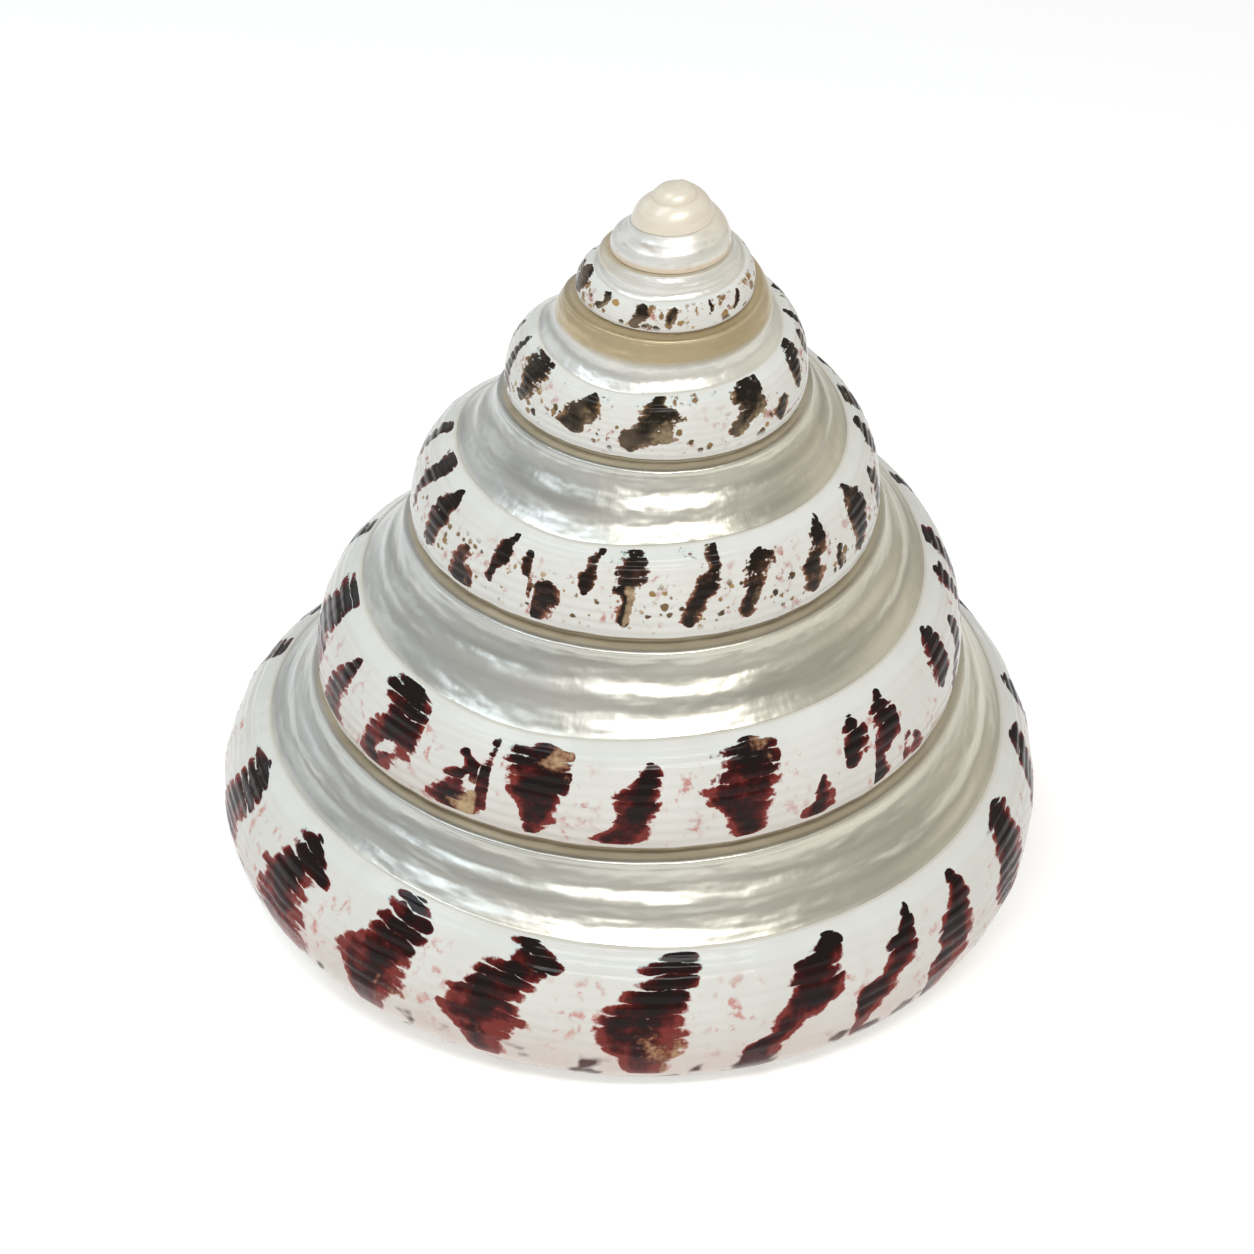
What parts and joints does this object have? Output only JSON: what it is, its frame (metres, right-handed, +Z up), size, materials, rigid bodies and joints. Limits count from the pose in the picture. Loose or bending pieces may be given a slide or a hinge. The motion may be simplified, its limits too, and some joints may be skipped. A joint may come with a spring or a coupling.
{
  "type": "top shell",
  "caption": "Conical spiral sea shell with stepped, full-rounded whorls, pearl bands, a flamed porcelain band, a convex base, a small navel and a hollow aperture at the lip.",
  "frame": {"origin": "centre of the bounding box's footprint, on the surface that the shell stands on", "axes": "+Z up, towards the apex; the front, whose whorls the picture shows, faces -Y; the aperture is at the back and opens towards +X"},
  "size_m": [0.0592, 0.0622, 0.058],
  "materials": {
    "shell": "polished shell: silver pearl bands and glossy white porcelain with dark maroon flames"
  },
  "bodies": {
    "root": {"shell": "shell"}
  },
  "joints": []
}
